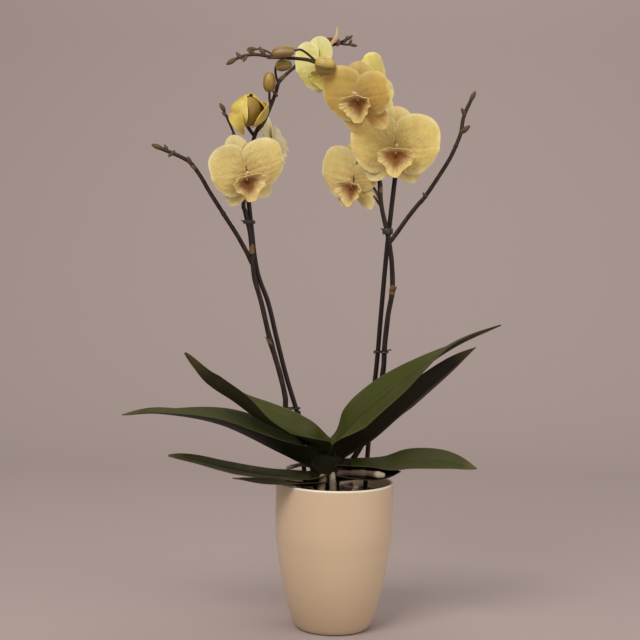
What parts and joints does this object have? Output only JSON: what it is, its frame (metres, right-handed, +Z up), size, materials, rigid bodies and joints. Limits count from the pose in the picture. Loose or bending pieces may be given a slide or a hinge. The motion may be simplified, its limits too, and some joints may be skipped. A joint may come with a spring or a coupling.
{
  "type": "potted orchid",
  "caption": "Moth orchid in a plain cream cover pot, with strap leaves, air roots and staked arching flower spikes that carry pale yellow flowers and buds.",
  "frame": {"origin": "middle of the cover pot's flat underside", "axes": "+Z up along the pot's axis, -Y towards the viewer that the flowers face, +X to that viewer's right"},
  "size_m": [0.4076, 0.1464, 0.6493],
  "materials": {
    "pot_glaze": "satin",
    "nursery_plastic": "gloss",
    "bark": "matte",
    "crown_tissue": "satin",
    "leaf_skin": "satin",
    "root_skin": "matte",
    "spike_skin": "satin",
    "stake_plastic": "satin",
    "clip_plastic": "satin",
    "petal_tissue": "satin",
    "sepal_tissue": "satin",
    "lip_tissue": "satin",
    "bud_tissue": "satin"
  },
  "bodies": {
    "root": {"cover_pot": "pot_glaze", "nursery_pot": "nursery_plastic", "potting_bark": "bark", "crown": "crown_tissue", "leaf_left_upper": "leaf_skin", "leaf_left_middle": "leaf_skin", "leaf_left_lower": "leaf_skin", "leaf_left_lowest": "leaf_skin", "leaf_right_upper": "leaf_skin", "leaf_right_middle": "leaf_skin", "leaf_right_lower": "leaf_skin", "leaf_right_lowest": "leaf_skin", "root_front_left": "root_skin", "root_front_middle": "root_skin", "root_front_right": "root_skin", "root_over_rim": "root_skin", "root_behind_leaf": "root_skin", "flower_spike_left": "spike_skin", "flower_spike_right": "spike_skin", "stake_left": "stake_plastic", "stake_right": "stake_plastic", "clip_left_lower": "clip_plastic", "clip_left_upper": "clip_plastic", "clip_right_lower": "clip_plastic", "clip_right_upper": "clip_plastic", "flower_right_front_sepals": "sepal_tissue", "flower_right_front_petal_left": "petal_tissue", "flower_right_front_petal_right": "petal_tissue", "flower_right_front_lip": "lip_tissue", "flower_right_lower_sepals": "sepal_tissue", "flower_right_lower_petal_left": "petal_tissue", "flower_right_lower_petal_right": "petal_tissue", "flower_right_lower_lip": "lip_tissue", "flower_right_upper_sepals": "sepal_tissue", "flower_right_upper_petal_left": "petal_tissue", "flower_right_upper_petal_right": "petal_tissue", "flower_right_upper_lip": "lip_tissue", "flower_right_back_sepals": "sepal_tissue", "flower_right_back_petal_left": "petal_tissue", "flower_right_back_petal_right": "petal_tissue", "flower_right_back_lip": "lip_tissue", "flower_top_sepals": "sepal_tissue", "flower_top_petal_left": "petal_tissue", "flower_top_petal_right": "petal_tissue", "flower_top_lip": "lip_tissue", "flower_left_front_sepals": "sepal_tissue", "flower_left_front_petal_left": "petal_tissue", "flower_left_front_petal_right": "petal_tissue", "flower_left_front_lip": "lip_tissue", "flower_left_back_sepals": "sepal_tissue", "flower_left_back_petal_left": "petal_tissue", "flower_left_back_petal_right": "petal_tissue", "flower_left_back_lip": "lip_tissue", "bud_upright": "bud_tissue", "bud_hanging": "bud_tissue", "bud_on_arch": "bud_tissue", "bud_striped": "bud_tissue", "half_open_flower": "bud_tissue"}
  },
  "joints": []
}
